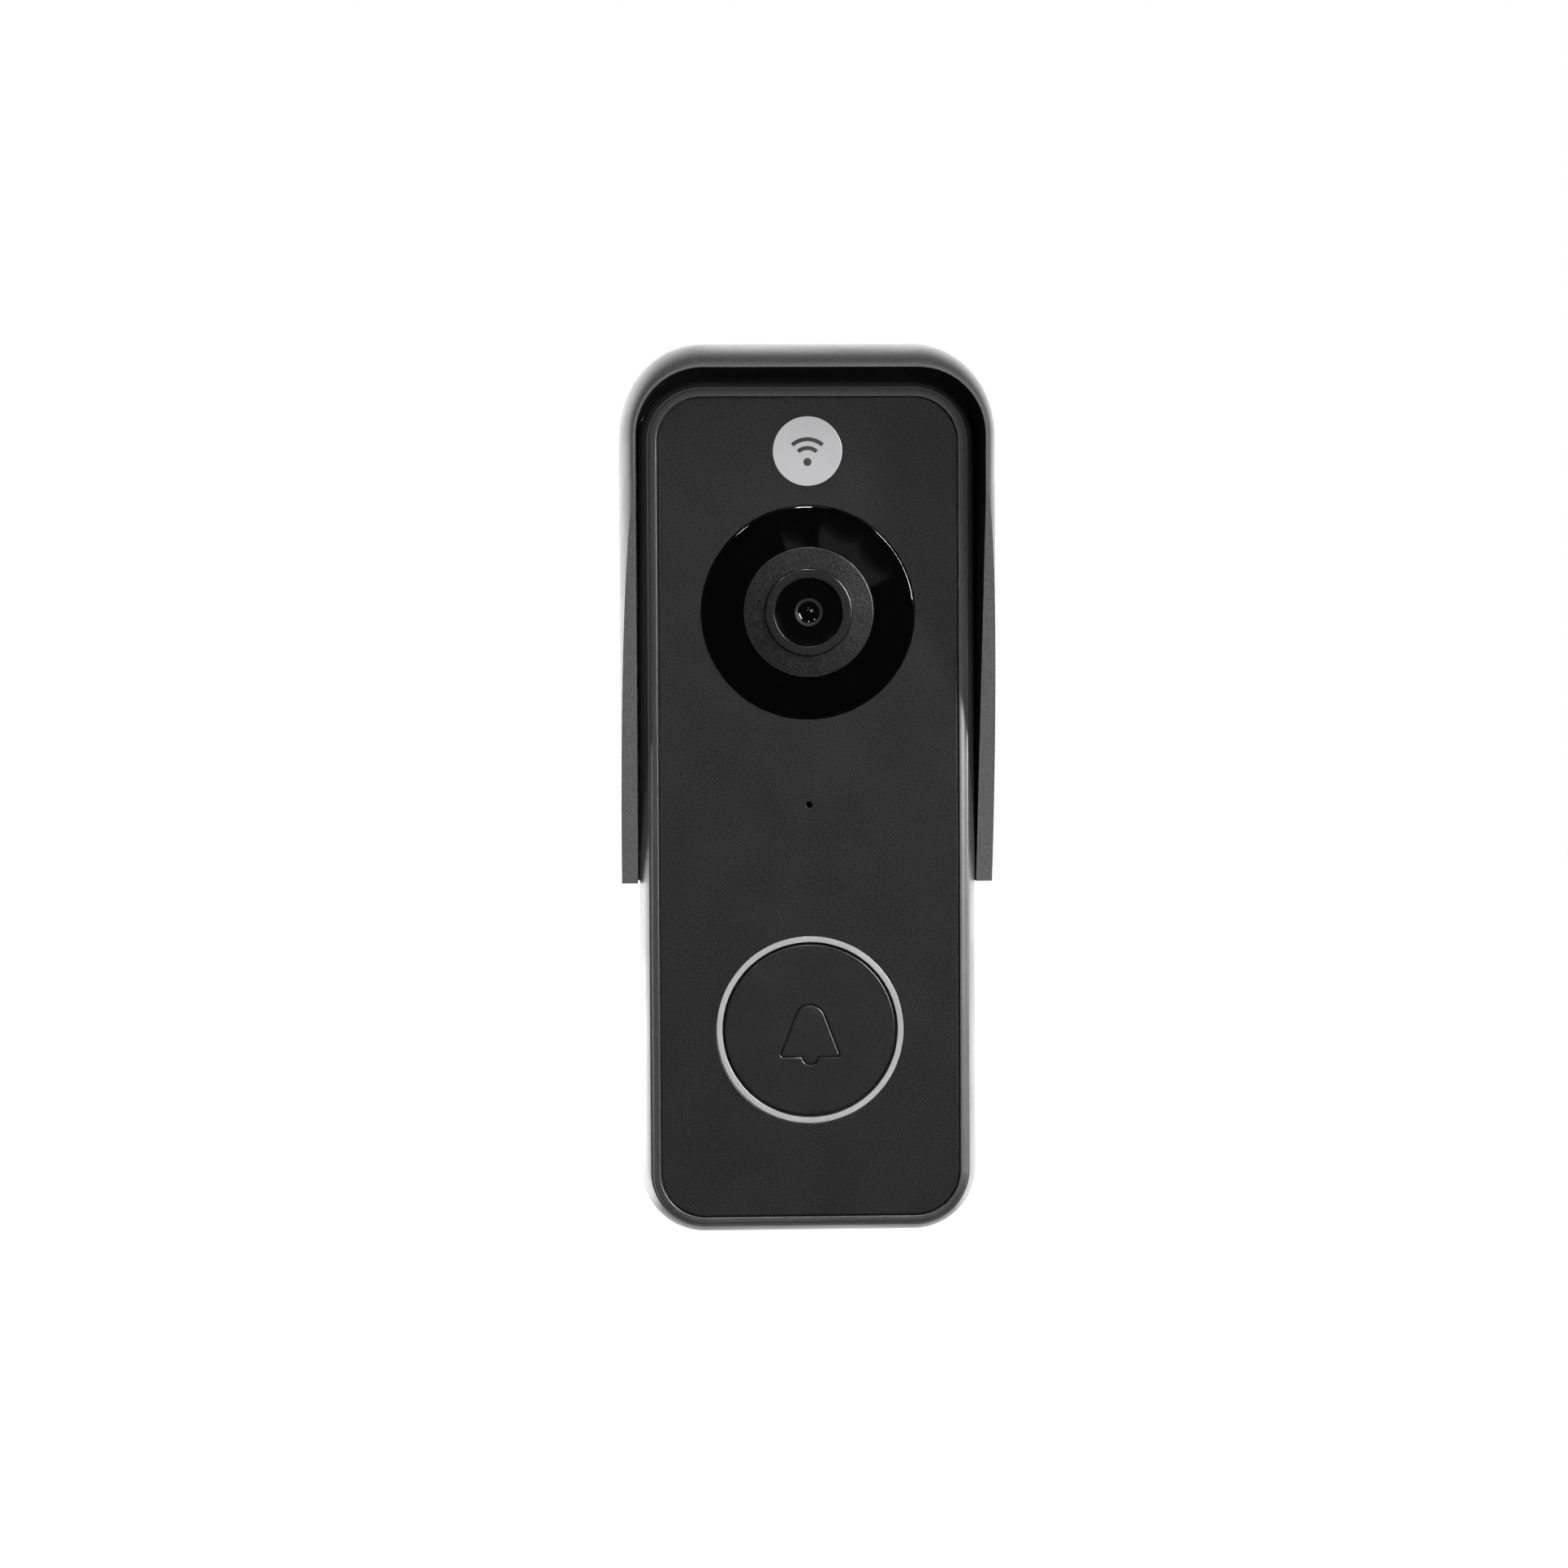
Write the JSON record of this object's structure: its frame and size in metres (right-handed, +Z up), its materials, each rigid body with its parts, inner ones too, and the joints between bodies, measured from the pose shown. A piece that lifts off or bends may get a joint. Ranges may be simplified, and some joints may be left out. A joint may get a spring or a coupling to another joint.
{
  "type": "video doorbell",
  "caption": "Slim upright video doorbell with a domed wide-angle camera, lit round call button, slide-on rain hood and hook-on wall bracket.",
  "frame": {"origin": "on the wall plane, midway between the two wall screw holes", "axes": "+Z up, -Y out of the wall towards the visitor, +X to the visitor's right"},
  "size_m": [0.0556, 0.038, 0.1321],
  "materials": {
    "bracket_steel": "zinc-plated, satin",
    "housing_plastic": "fine texture",
    "hood_plastic": "satin",
    "face_plastic": "fine speckle texture",
    "gloss_black": "high gloss",
    "shroud_plastic": "fine grain",
    "barrel_metal": "black anodised, satin",
    "lens_glass": "coated",
    "badge_metal": "bead-blasted silver",
    "light_guide": "milky, satin",
    "seal_rubber": "matt",
    "board_laminate": "solder mask",
    "screw_steel": "zinc-plated",
    "shield_metal": "tinned",
    "spreader_metal": "mill finish",
    "chip_resin": "moulded",
    "contact_brass": "nickel flash",
    "led_resin": "clear",
    "cable_film": "polyimide",
    "capacitor_sleeve": "sleeve",
    "speaker_paper": "coated",
    "wire_jacket": "soft"
  },
  "bodies": {
    "bracket": {"wall_plate": "bracket_steel"},
    "unit": {"housing_frame": "housing_plastic", "face_plate": "face_plastic", "front_gasket": "seal_rubber", "badge_disc": "badge_metal", "lens_bezel": "gloss_black", "lens_shroud": "shroud_plastic", "lens_barrel": "barrel_metal", "front_glass": "lens_glass", "iris_ring": "barrel_metal", "inner_lens": "lens_glass", "rear_lens": "lens_glass", "lens_holder": "housing_plastic", "holder_screws": "screw_steel", "image_sensor": "chip_resin", "infrared_filter": "lens_glass", "infrared_board": "board_laminate", "infrared_leds": "led_resin", "main_board": "board_laminate", "board_screws": "screw_steel", "processor": "chip_resin", "thermal_pad": "seal_rubber", "heat_spreader": "spreader_metal", "memory_chips": "chip_resin", "radio_shield": "shield_metal", "radio_antenna": "contact_brass", "board_link": "led_resin", "small_parts": "chip_resin", "mic_board": "board_laminate", "microphone": "contact_brass", "mic_boot": "seal_rubber", "light_ring": "light_guide", "ring_gasket": "seal_rubber", "button_guide": "housing_plastic", "guide_screws": "screw_steel", "button_board": "board_laminate", "ring_leds": "led_resin", "switch_body": "shield_metal", "switch_dome": "contact_brass", "ribbon_cable": "cable_film", "speaker_frame": "housing_plastic", "speaker_magnet": "screw_steel", "speaker_cone": "speaker_paper", "speaker_gasket": "seal_rubber", "speaker_wires": "wire_jacket", "power_board": "board_laminate", "power_inductor": "chip_resin", "capacitors": "capacitor_sleeve", "terminal_plates": "contact_brass", "terminal_screws": "contact_brass", "reset_switch": "chip_resin", "rear_cover": "housing_plastic", "rear_seal": "seal_rubber", "case_screws": "screw_steel"},
    "hood": {"rain_hood": "hood_plastic"},
    "call_button": {"call_button": "face_plastic"},
    "switch_stem": {"switch_stem": "chip_resin"},
    "reset_button": {"reset_button": "seal_rubber"},
    "security_screw": {"security_screw": "screw_steel"}
  },
  "joints": [
    {"name": "unit_lift", "type": "slide", "parent": "bracket", "child": "unit", "axis": [0, 0, 1], "range_m": [0, 0.005]},
    {"name": "hood_slide", "type": "slide", "parent": "unit", "child": "hood", "axis": [0, 0, 1], "range_m": [0, 0.066]},
    {"name": "call_press", "type": "slide", "parent": "unit", "child": "call_button", "axis": [0, 1, 0], "range_m": [0, 0.0004], "stiffness_N_per_m": 800, "springref_m": -0.0008},
    {"name": "stem_press", "type": "slide", "parent": "unit", "child": "switch_stem", "axis": [0, 1, 0], "range_m": [0, 0.0004]},
    {"name": "reset_press", "type": "slide", "parent": "unit", "child": "reset_button", "axis": [0, -1, 0], "range_m": [0, 0.0005], "stiffness_N_per_m": 500, "springref_m": -0.0008},
    {"name": "screw_out", "type": "slide", "parent": "unit", "child": "security_screw", "axis": [0, 0, -1], "range_m": [0, 0.007]}
  ],
  "couplings": [
    {"joint": "stem_press", "follows": "call_press", "ratio": 1}
  ]
}
